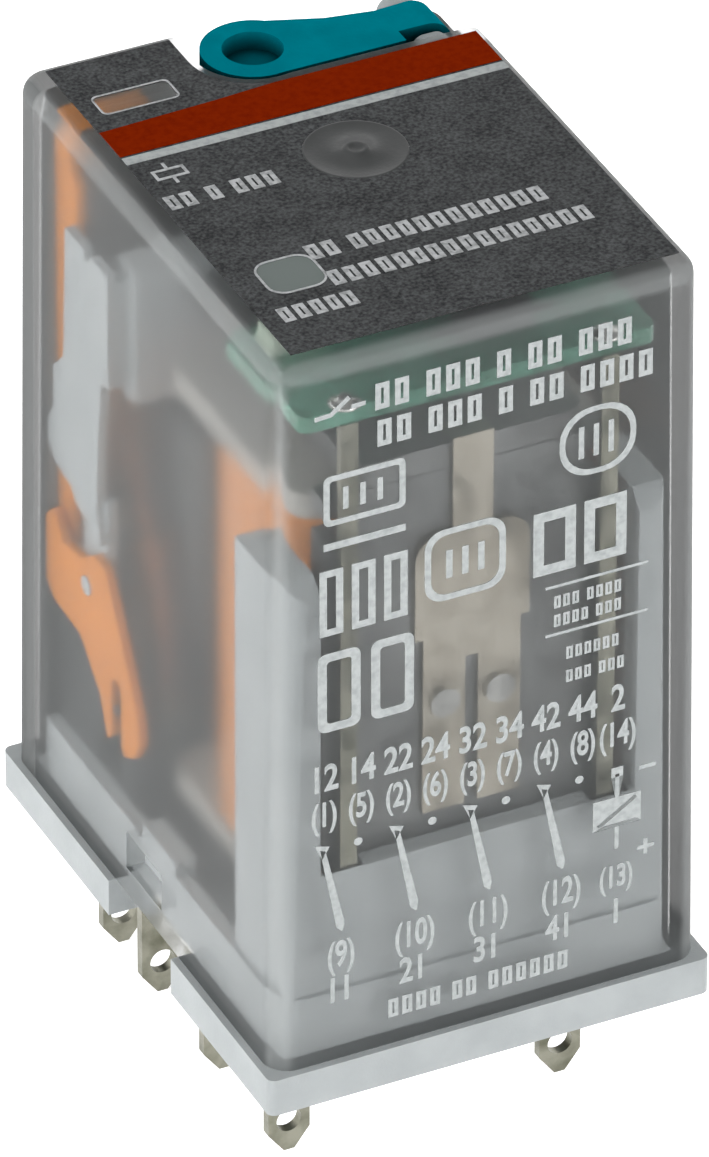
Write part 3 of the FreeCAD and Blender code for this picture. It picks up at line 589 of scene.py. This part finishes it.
def merged(name, meshes):
    """One mesh in place of several."""
    shape = bmesh.new()
    for mesh in meshes:
        shape.from_mesh(mesh)
        bpy.data.meshes.remove(mesh)
    result = bpy.data.meshes.new(name)
    shape.to_mesh(result)
    shape.free()
    return result


def rectangle(x_low, x_high, y_low, y_high):
    """Corner points of a rectangle."""
    return [(x_low, y_low), (x_high, y_low), (x_high, y_high), (x_low, y_high)]


def rounded(x_low, x_high, y_low, y_high, radius, steps=6):
    """Points of a rectangle with round corners."""
    points = []
    centres = ((x_high - radius, y_low + radius, -90), (x_high - radius, y_high - radius, 0),
               (x_low + radius, y_high - radius, 90), (x_low + radius, y_low + radius, 180))
    for x, y, start in centres:
        points += arc(x, y, radius, start, start + 90, steps)
    return points


def arc(x, y, radius, start, end, steps=12):
    """Points along an arc, in degrees."""
    angles = [math.radians(start + (end - start) * step / steps) for step in range(steps + 1)]
    return [(x + radius * math.cos(angle), y + radius * math.sin(angle)) for angle in angles]


def circle(x, y, radius, steps=40):
    """Points around a circle."""
    return arc(x, y, radius, 0, 360, steps)[:-1]


def stroke(start, end, width):
    """Corner points of a straight line with a width."""
    a, b = Vector(start), Vector(end)
    side = (b - a).normalized().orthogonal() * width / 2
    return [tuple(a + side), tuple(a - side), tuple(b - side), tuple(b + side)]


def frame_line(x_low, x_high, y_low, y_high, width):
    """Outer and inner loops of a rectangular outline."""
    return [rectangle(x_low, x_high, y_low, y_high),
            rectangle(x_low + width, x_high - width, y_low + width, y_high - width)]


def word_blocks(x, y, height, counts):
    """Rows of small plain boxes in place of the words of one line, from its left end."""
    width = height * 0.5
    line = height * 0.2
    loops = []
    for count in counts:
        for _ in range(count):
            loops += frame_line(x, x + width, y, y + height, line)
            x += width + height * 0.2
        x += height * 0.42
    return loops


def number_mesh(text, x, y, height, squeeze=0.74):
    """Extruded digits centred on a point of the plane, in millimetres, narrowed by squeeze."""
    curve = bpy.data.curves.new("number", "FONT")
    curve.body = text
    curve.align_x = "CENTER"
    curve.align_y = "CENTER"
    curve.size = height / 0.7 * MM
    curve.extrude = FILM / 2
    curve.offset = 0.045 * MM
    mesh = curve_mesh(curve)
    mesh.transform(Matrix.Translation((x * MM, y * MM, 0)) @ Matrix.Diagonal((squeeze, 1, 1, 1)))
    return mesh


# ---------------------------------------------------------------- places on the cover

def cover_lines():
    """Half depth of the cover's outside at its foot and under its rounded top, with their heights."""
    low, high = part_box("cover")
    corners = [vertex.co for vertex in frame["nodes"]["cover"].data.vertices]
    foot = max(-co.y for co in corners if co.z < low.z + 0.1 * MM)
    head = max(-co.y for co in corners if high.z - 1.0 * MM < co.z < high.z - 0.6 * MM)
    return foot, low.z, head, high.z - 0.8 * MM


def front_place(lift):
    """Matrix from the front's plane, with x right and y up from the seat, to the cover's front wall."""
    foot, foot_z, head, head_z = cover_lines()
    lean = math.atan2(foot - head, head_z - foot_z)
    up = Vector((0, math.sin(lean), math.cos(lean)))
    out = Vector((0, -math.cos(lean), math.sin(lean)))
    right = Vector((1, 0, 0))
    start = Vector((0, -foot, foot_z)) - up * foot_z / up.z + out * lift
    matrix = Matrix((right, up, out)).transposed().to_4x4()
    matrix.translation = start
    return matrix


def top_place(lift):
    """Matrix from the top's plane to the cover's top."""
    return Matrix.Translation((0, 0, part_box("cover")[1].z + lift))


# ---------------------------------------------------------------- top label

# Places on the top label, in millimetres from the middle of the cover
LABEL_LEFT = -8.75
LABEL_RIGHT = 9.3
LABEL_FRONT = -12.0
LABEL_REAR_GAP = 1.1
BAND_LOW = 4.75
BAND_HIGH = 7.3
LINE_LOW = 4.05
LINE_HIGH = 4.6
LEVER_HEAD_RADIUS = 2.3
BAY_GAP = 0.75
FLAG_WINDOW = (-7.9, -4.4, 8.1, 9.5)
FLAG_RIM = 0.08
LAMP_WINDOW = (-7.4, -4.85, -7.7, -5.3)
LAMP_RIM = 0.1
GATE_PLACE = (0.55, 1.05)
GATE_RADIUS = 2.3


def lever_bay():
    """Outline of the label's edge round the lever's bay, from the rear edge to the right end."""
    head_low, head_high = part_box("test_lever")
    middle_x = head_low.x / MM + LEVER_HEAD_RADIUS
    middle_y = head_high.y / MM - LEVER_HEAD_RADIUS
    return arc(middle_x, middle_y, LEVER_HEAD_RADIUS + BAY_GAP, 180, 250, 10)


def window_rim(window, rim, radius, steps):
    """A window's outline, and the outer outline of its rim."""
    x_low, x_high, y_low, y_high = window
    outer = rounded(x_low - rim, x_high + rim, y_low - rim, y_high + rim, radius[1], steps)
    return rounded(*window, radius[0], steps), outer


def make_top_label(materials):
    """Dark label with its windows, the band, its white line, the gate mark and plain boxes for words."""
    bay = lever_bay()
    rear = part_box("cover")[1].y / MM - LABEL_REAR_GAP
    bay_end = (bay[-1][0] + 0.6, BAND_HIGH)
    outline = [(LABEL_LEFT, LABEL_FRONT), (LABEL_RIGHT, LABEL_FRONT), (LABEL_RIGHT, BAND_HIGH), bay_end]
    outline += bay[::-1] + [(bay[0][0], rear), (LABEL_LEFT, rear)]
    band = [(LABEL_LEFT, BAND_LOW), (LABEL_RIGHT, BAND_LOW), (LABEL_RIGHT, BAND_HIGH), bay_end]
    band += [point for point in bay[::-1] if point[1] < BAND_HIGH]
    band += [(bay[-1][0] - 2.2, BAND_HIGH - 0.2), (LABEL_LEFT, BAND_HIGH - 0.45)]
    line = rectangle(LABEL_LEFT, LABEL_RIGHT, LINE_LOW, LINE_HIGH)
    flag_window, flag_outer = window_rim(FLAG_WINDOW, FLAG_RIM, (0.25, 0.3), 4)
    lamp_window, lamp_outer = window_rim(LAMP_WINDOW, LAMP_RIM, (0.7, 0.8), 6)
    gate = circle(*GATE_PLACE, GATE_RADIUS)
    level = top_place(LABEL_FILM / 2)
    above = top_place(LABEL_FILM + FILM / 2)
    for name, loops, thickness, material, place in (
            ("top_label", [outline, flag_window, lamp_window, gate], LABEL_FILM, "label_film", level),
            ("label_band", [band], FILM, "band_ink", above),
            ("label_line", [line], FILM, "white_ink", above),
            ("flag_window_pane", [flag_window], LABEL_FILM, "clear_window", level),
            ("flag_window_rim", [flag_outer, flag_window], FILM, "label_ink", above),
            ("lamp_window_pane", [lamp_window], LABEL_FILM, "lamp_window", level),
            ("lamp_window_rim", [lamp_outer, lamp_window], FILM, "label_ink", above),
            ("label_words", top_words(), FILM, "label_ink", above)):
        flat_mesh(name, loops, thickness, materials[material], place)
    make_gate_mark(materials)


def top_words():
    """Plain boxes and a coil sign in place of the label's wording."""
    loops = coil_symbol(-7.35, 2.75, 1.5, 0.75, 0.14)
    loops += word_blocks(-8.5, 0.05, 1.05, (2, 1, 3))
    loops += word_blocks(-4.8, -5.95, 1.1, (2, 12))
    loops += word_blocks(-4.8, -8.1, 1.1, (16,))
    loops += word_blocks(-7.9, -9.75, 1.05, (5,))
    return loops


def coil_symbol(x, y, width, height, line):
    """A relay coil sign: a box with a stroke across it and two leads."""
    loops = frame_line(x - width / 2, x + width / 2, y - height / 2, y + height / 2, line)
    loops.append(stroke((x, y + height / 2), (x, y + height * 1.1), line))
    loops.append(stroke((x, y - height / 2), (x, y - height * 1.1), line))
    return loops


def make_gate_mark(materials):
    """Round dish of clear cover in the label, with a raised nib ring left by the mould's gate."""
    profile = [(0.0, 0.10), (0.28, 0.10), (0.34, 0.16), (0.52, 0.16), (0.60, 0.03), (1.5, 0.012),
               (2.12, 0.012), (2.2, 0.05), (2.28, 0.05), (GATE_RADIUS, 0.0)]
    mesh = turned_mesh("gate_mark", profile, 48)
    mesh.transform(Matrix.Translation((GATE_PLACE[0] * MM, GATE_PLACE[1] * MM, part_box("cover")[1].z)))
    add_piece("gate_mark", mesh, materials["gate_plastic"], "root")


def turned_mesh(name, profile, steps):
    """Closed mesh from a (radius, height) profile turned about Z, with a flat bottom at height 0."""
    shape = bmesh.new()
    rings = []
    for radius, height in profile:
        if radius == 0:
            rings.append([shape.verts.new((0, 0, height * MM))])
            continue
        ring = [shape.verts.new((radius * math.cos(2 * math.pi * k / steps) * MM,
                                 radius * math.sin(2 * math.pi * k / steps) * MM, height * MM))
                for k in range(steps)]
        rings.append(ring)
    for inner, outer in zip(rings, rings[1:]):
        for k in range(steps):
            after = (k + 1) % steps
            if len(inner) == 1:
                shape.faces.new((inner[0], outer[k], outer[after]))
            else:
                shape.faces.new((inner[k], outer[k], outer[after], inner[after]))
    bottom = rings[-1]
    if profile[-1][1] > 0:
        raise ValueError("a turned profile ends at height 0")
    shape.faces.new(bottom[::-1])
    mesh = bpy.data.meshes.new(name)
    bmesh.ops.recalc_face_normals(shape, faces=shape.faces)
    shape.to_mesh(mesh)
    shape.free()
    for polygon in mesh.polygons:
        polygon.use_smooth = True
    return mesh


# ---------------------------------------------------------------- front print

# Places of the marks on the front, in millimetres: x from the middle, rows up from the seat
POLE_STEP = 3.5
FIRST_POLE = -7.92
NUMBER_PITCH = 1.75
NUMBER_ROW = 16.6
PIN_ROW = 14.75
DOT_ROW = 12.95
COMMON_ROW = 8.75
LOWER_NUMBER_ROW = 7.3
LOWER_MARK_ROW = 5.45
INK_LINE = 0.2
COIL_X = 6.1
COIL_BOX = (9.95, 11.5)
COIL_PLUS = (7.5, 8.5)


def contact_marks():
    """Switch signs for four poles: a dot, an arrow foot and a slanted blade for each."""
    loops = []
    for pole in range(4):
        x = FIRST_POLE + pole * POLE_STEP
        loops.append(circle(x + 1.7, DOT_ROW, 0.2, 16))
        foot = (x + 0.95, COMMON_ROW)
        head = (x, DOT_ROW + 0.05)
        loops.append([(head[0] - 0.1, head[1]), (foot[0] - 0.28, foot[1]), (foot[0], foot[1] - 0.25),
                      (foot[0] + 0.1, foot[1] + 0.2), (head[0] + 0.16, head[1] - 0.1)])
        loops.append([(head[0] - 0.35, head[1] + 0.3), (head[0] + 0.35, head[1] + 0.1),
                      (head[0], head[1] - 0.5)])
    return loops


def coil_marks():
    """Coil sign with leads, and plain minus and plus signs. The plus is three bars that don't touch."""
    x = COIL_X
    low, high = COIL_BOX
    plus_x, plus_y = COIL_PLUS
    bar = INK_LINE / 2
    return [*frame_line(x - 1.15, x + 1.15, low, high, INK_LINE),
            stroke((x - 0.9, 10.15), (x + 0.9, 11.3), INK_LINE),
            stroke((x, high), (x, 12.7), INK_LINE),
            stroke((x, 8.8), (x, low), INK_LINE),
            rectangle(x - 0.28, x + 0.28, 12.55, 13.05),
            rectangle(7.15, 7.95, 12.6, 12.8),
            rectangle(plus_x - 0.4, plus_x + 0.4, plus_y - bar, plus_y + bar),
            rectangle(plus_x - bar, plus_x + bar, plus_y - 0.4, plus_y - 0.105),
            rectangle(plus_x - bar, plus_x + bar, plus_y + 0.105, plus_y + 0.4)]


def switch_sign():
    """Open switch sign at the head of the rating lines."""
    return [stroke((-8.2, 34.9), (-7.4, 34.95), 0.22), stroke((-7.45, 34.95), (-6.6, 35.6), 0.22),
            stroke((-6.5, 35.1), (-5.85, 35.12), 0.22)]


def line_box(x_low, x_high, y_low, y_high, radius, line):
    """A round-cornered outline."""
    return [rounded(x_low, x_high, y_low, y_high, radius),
            rounded(x_low + line, x_high - line, y_low + line, y_high - line, radius - line / 2)]


def three_bars(x, step, width, y_low, y_high):
    """Three upright bars, step apart."""
    return [rectangle(x + step * bar, x + width + step * bar, y_low, y_high) for bar in range(3)]


def plain_marks():
    """Plain boxes and bars where the cover carries its rating lines and small marks."""
    loops = word_blocks(-5.4, 34.6, 1.3, (2, 3, 1, 2, 3))
    loops += word_blocks(-5.3, 32.75, 1.3, (2, 3, 1, 2, 4))
    loops += line_box(3.2, 6.8, 28.5, 31.9, 1.5, 0.26)
    loops += three_bars(4.1, 0.7, 0.25, 29.4, 31.0)
    loops += line_box(-7.8, -4.0, 29.4, 31.9, 0.3, 0.28)
    loops += three_bars(-6.9, 0.8, 0.25, 30.1, 31.2)
    loops += [rectangle(-7.8, -4.0, 28.2, 28.55)]
    for column in range(3):
        loops += frame_line(-8.0 + column * 1.5, -6.9 + column * 1.5, 23.9, 27.2, 0.34)
    loops += line_box(-3.1, 0.7, 24.1, 27.7, 0.9, 0.3)
    loops += three_bars(-2.1, 0.75, 0.3, 25.2, 26.6)
    for column in range(2):
        loops += line_box(-8.1 + column * 2.5, -6.1 + column * 2.5, 19.0, 23.0, 0.4, 0.42)
    loops += frame_line(2.0, 4.0, 24.0, 27.2, 0.5)
    loops += frame_line(4.4, 6.4, 24.0, 27.2, 0.5)
    loops += [rectangle(2.6, 7.45, 23.2, 23.34), rectangle(2.6, 7.45, 20.75, 20.89)]
    loops += word_blocks(3.0, 22.15, 0.62, (3, 4))
    loops += word_blocks(3.0, 21.2, 0.62, (4, 3))
    loops += word_blocks(3.6, 19.4, 0.62, (6,))
    loops += word_blocks(3.6, 18.2, 0.62, (3, 3))
    loops += word_blocks(-4.8, 3.25, 0.95, (4, 2, 6))
    return loops


def bracketed(text, x, y, height):
    """A number between round brackets."""
    return number_mesh(f"({text})", x, y, height, 0.64)


def terminal_numbers():
    """Digit meshes: the contact numbers, and the fourteen terminals in brackets."""
    meshes = []
    left = FIRST_POLE + 0.1
    for place, number in enumerate((12, 14, 22, 24, 32, 34, 42, 44)):
        meshes.append(number_mesh(str(number), left + place * NUMBER_PITCH, NUMBER_ROW, 1.3))
    meshes.append(number_mesh("2", COIL_X, NUMBER_ROW, 1.3))
    for place, number in enumerate((1, 5, 2, 6, 3, 7, 4, 8)):
        meshes.append(bracketed(number, left + place * NUMBER_PITCH, PIN_ROW, 1.2))
    meshes.append(bracketed(14, COIL_X, PIN_ROW, 1.2))
    for pole, (pin, number) in enumerate(((9, 11), (10, 21), (11, 31), (12, 41))):
        x = FIRST_POLE + 0.88 + pole * POLE_STEP
        meshes.append(bracketed(pin, x, LOWER_NUMBER_ROW, 1.3))
        meshes.append(number_mesh(str(number), x - 0.08, LOWER_MARK_ROW, 1.25))
    meshes.append(bracketed(13, COIL_X, LOWER_NUMBER_ROW, 1.1))
    meshes.append(number_mesh("1", COIL_X, LOWER_MARK_ROW, 1.25))
    return meshes


def make_front_print(materials):
    """All marks printed on the front wall of the cover."""
    place = front_place(FILM * 0.6)
    for name, loops in (("front_contact_marks", contact_marks()), ("front_coil_marks", coil_marks()),
                        ("front_switch_sign", switch_sign()), ("front_plain_marks", plain_marks())):
        flat_mesh(name, loops, FILM, materials["white_ink"], place)
    meshes = terminal_numbers()
    for mesh in meshes:
        mesh.transform(place)
    add_piece("front_numbers", merged("front_numbers", meshes), materials["white_ink"], "root")


# ---------------------------------------------------------------- fine pieces

def make_braids(materials):
    """Braided leads from the common risers to the moving springs."""
    meshes = []
    for number in range(1, 5):
        riser_low, riser_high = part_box(f"com_terminal_{number}")
        spring_low, spring_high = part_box(f"moving_spring_{number}")
        x = (riser_low.x + riser_high.x) / 2
        start = Vector((x, riser_high.y + 0.12 * MM, riser_high.z - 0.8 * MM))
        end = Vector((x, spring_low.y - 0.12 * MM, spring_high.z - 5.0 * MM))
        meshes += braid(start, end)
    piece = add_object("braided_leads", merged("braided_leads", meshes), materials["copper_braid"])
    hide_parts("flexible_leads")
    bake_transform(piece)


def braid(start, end, strands=3, turns=7, steps=56):
    """Three strands twisted about a sagging path from start to end."""
    meshes = []
    forward = Vector((0, -0.5 * MM, 0))
    for strand in range(strands):
        curve = bpy.data.curves.new("strand", "CURVE")
        curve.dimensions = "3D"
        curve.bevel_depth = 0.11 * MM
        curve.bevel_resolution = 2
        curve.use_fill_caps = True
        spline = curve.splines.new("POLY")
        spline.points.add(steps)
        for step in range(steps + 1):
            share = step / steps
            smooth = share * share * (3 - 2 * share)
            depth = start.y + (end.y - start.y) * smooth ** 1.6
            point = Vector((start.x, depth, start.z + (end.z - start.z) * share))
            angle = 2 * math.pi * (turns * share + strand / strands)
            point += Vector((math.cos(angle), math.sin(angle), 0)) * 0.11 * MM
            point += forward * math.sin(math.pi * share) * 0.4
            spline.points[step].co = (*point, 1)
        meshes.append(curve_mesh(curve))
    return meshes


def make_solder(materials):
    """Solder cones where the risers meet the board."""
    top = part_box("pcb")[1].z
    for number in (1, 2):
        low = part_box(f"coil_terminal_{number}")[0]
        x = math.copysign(6.1 * MM, low.x)
        y = low.y + 0.2 * MM
        mesh = turned_mesh("solder", [(0.0, 0.42), (0.22, 0.40), (0.34, 0.22), (0.55, 0.08), (0.75, 0.0)], 28)
        mesh.transform(Matrix.Translation((x, y + 0.3 * MM, top)))
        add_piece(f"solder_joint_{number}", mesh, materials["solder"], "root")


# ---------------------------------------------------------------- stage

def make_floor():
    """Plain pale round floor under the blade tips, with a rim that curves up beyond the camera."""
    ground = cad_bounds[0].z
    tilts = [math.radians(90 * step / RIM_STEPS) for step in range(RIM_STEPS + 1)]
    profile = [(FLOOR_FLAT + FLOOR_CURVE * math.sin(tilt), ground + FLOOR_CURVE * (1 - math.cos(tilt)))
               for tilt in tilts]
    profile.append((FLOOR_FLAT + FLOOR_CURVE, ground + FLOOR_CURVE + FLOOR_RISE))
    angles = [2 * math.pi * step / FLOOR_STEPS for step in range(FLOOR_STEPS)]
    shape = bmesh.new()
    rings = []
    for radius, height in profile:
        rings.append([shape.verts.new((radius * math.cos(a), radius * math.sin(a), height)) for a in angles])
    shape.faces.new(rings[0])
    for near, far in zip(rings, rings[1:]):
        for step in range(FLOOR_STEPS):
            after = (step + 1) % FLOOR_STEPS
            shape.faces.new((near[step], far[step], far[after], near[after]))
    bmesh.ops.recalc_face_normals(shape, faces=shape.faces)
    mesh = bpy.data.meshes.new("floor")
    shape.to_mesh(mesh)
    shape.free()
    for polygon in mesh.polygons:
        polygon.use_smooth = True
    shader = Shader("floor_paper")
    grain = shader.noise(20 * MM, 2)
    shader.link(shader.ramp(grain, 0.3, 0.7, ((0.90, 0.90, 0.90), (0.93, 0.93, 0.93))),
                shader.surface.inputs["Base Color"])
    shader.set(Roughness=0.9, Emission_Color=(1, 1, 1, 1), Emission_Strength=FLOOR_GLOW)
    add_object("floor", mesh, shader.material)


def area_light(name, place, size, power):
    """A soft square light that faces the relay."""
    light = bpy.data.lights.new(name, "AREA")
    light.size = size
    light.energy = power
    lamp = bpy.data.objects.new(name, light)
    lamp.location = place
    lamp.rotation_euler = (Vector(LIGHT_TARGET) - Vector(place)).to_track_quat("-Z", "Y").to_euler()
    bpy.context.scene.collection.objects.link(lamp)


def make_light():
    """Soft studio light from above and behind, from the left and from the front right, in a pale world."""
    area_light("top_light", *TOP_LIGHT)
    area_light("left_light", *LEFT_LIGHT)
    area_light("front_light", *FRONT_LIGHT)
    world = bpy.data.worlds.new("studio")
    world.use_nodes = True
    world.node_tree.nodes["Background"].inputs["Color"].default_value = (1, 1, 1, 1)
    world.node_tree.nodes["Background"].inputs["Strength"].default_value = WORLD_LIGHT
    bpy.context.scene.world = world
    bpy.context.scene.view_settings.view_transform = "Standard"


def make_camera():
    """Long-lens camera at the fitted view: azimuth, elevation, roll, distance and offset."""
    turn = math.radians(CAMERA_AZIMUTH)
    lift = math.radians(CAMERA_ELEVATION)
    roll = math.radians(CAMERA_ROLL)
    back = Vector((math.sin(turn) * math.cos(lift), -math.cos(turn) * math.cos(lift), math.sin(lift)))
    flat_right = Vector((math.cos(turn), math.sin(turn), 0))
    flat_up = back.cross(flat_right)
    right = flat_right * math.cos(roll) + flat_up * math.sin(roll)
    up = flat_up * math.cos(roll) - flat_right * math.sin(roll)
    lens = bpy.data.cameras.new("camera")
    lens.sensor_width = SENSOR
    lens.lens = CAMERA_LENS
    lens.clip_start = 0.01
    camera = bpy.data.objects.new("camera", lens)
    matrix = Matrix((right, up, back)).transposed().to_4x4()
    matrix.translation = right * CAMERA_RIGHT + up * CAMERA_UP + back * CAMERA_DISTANCE
    camera.matrix_world = matrix
    bpy.context.scene.collection.objects.link(camera)
    bpy.context.scene.camera = camera


materials = make_materials()
dress_nodes(materials)
make_top_label(materials)
make_front_print(materials)
make_braids(materials)
make_solder(materials)
make_floor()
make_light()
make_camera()
